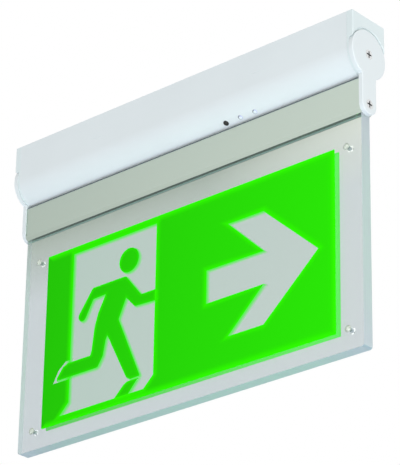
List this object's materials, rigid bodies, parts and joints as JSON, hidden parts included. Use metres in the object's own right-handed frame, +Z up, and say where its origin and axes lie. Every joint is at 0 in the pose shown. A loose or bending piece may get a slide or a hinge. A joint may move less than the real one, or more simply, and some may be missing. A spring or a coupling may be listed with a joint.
{
  "type": "emergency exit light",
  "caption": "Ceiling-mounted exit sign light: slim white housing with a swivelling clear panel that carries a green running-man legend and an arrow.",
  "frame": {"origin": "middle of the ceiling plate's upper face, halfway between its two screw slots", "axes": "+X along the sign towards the end that the arrow points to, +Y away from the viewer of the front legend, +Z up to the ceiling"},
  "size_m": [0.36, 0.0404, 0.271],
  "materials": {
    "painted_aluminium": "satin",
    "white_plastic": "satin",
    "plated_steel": "satin",
    "grey_nylon": "matte",
    "anodised_aluminium": "satin",
    "circuit_board": "satin",
    "lamp_white": "satin",
    "clear_acrylic": "polished",
    "brass": "satin",
    "legend_film": "satin",
    "clear_plastic": "polished",
    "black_plastic": "satin",
    "sheet_aluminium": "satin",
    "zinc_plated_sheet": "satin",
    "black_rubber": "matte",
    "natural_nylon": "satin",
    "cell_sleeve": "satin",
    "dark_ferrite": "matte",
    "capacitor_sleeve": "satin"
  },
  "bodies": {
    "housing": {"housing_shell": "painted_aluminium", "left_end_cap": "white_plastic", "right_end_cap": "white_plastic", "cap_screws": "plated_steel", "pivot_nuts": "plated_steel", "friction_washers": "grey_nylon", "charge_lens": "clear_plastic", "fault_lens": "clear_plastic", "indicator_board": "circuit_board", "test_switch": "black_plastic", "indicator_lamps": "clear_plastic", "indicator_bracket": "sheet_aluminium", "ceiling_plate": "zinc_plated_sheet", "cable_grommet": "black_rubber", "terminal_block": "natural_nylon", "terminal_screws": "brass", "body_clips": "plated_steel", "gear_tray": "sheet_aluminium", "battery_cells": "cell_sleeve", "battery_holders": "plated_steel", "control_board": "circuit_board", "board_standoffs": "brass", "board_screws": "plated_steel", "transformer": "dark_ferrite", "capacitors": "capacitor_sleeve", "board_connector": "natural_nylon"},
    "button": {"test_button": "black_plastic"},
    "blade": {"left_arm": "painted_aluminium", "right_arm": "painted_aluminium", "pivot_screws": "plated_steel", "arm_screws": "plated_steel", "blade_channel": "anodised_aluminium", "lamp_strip": "circuit_board", "lamp_chips": "lamp_white", "light_panel": "clear_acrylic", "panel_inserts": "brass", "front_legend": "legend_film", "rear_legend": "legend_film", "panel_rivets": "clear_plastic"}
  },
  "joints": [
    {"name": "blade_swivel", "type": "hinge", "parent": "housing", "child": "blade", "pos_m": [0, 0, -0.0316], "axis": [1, 0, 0], "range_deg": [-90, 90]},
    {"name": "test_press", "type": "slide", "parent": "housing", "child": "button", "axis": [0, 0.5, 0.866], "range_m": [0, 0.0006], "stiffness_N_per_m": 2500, "springref_m": -0.0003}
  ]
}
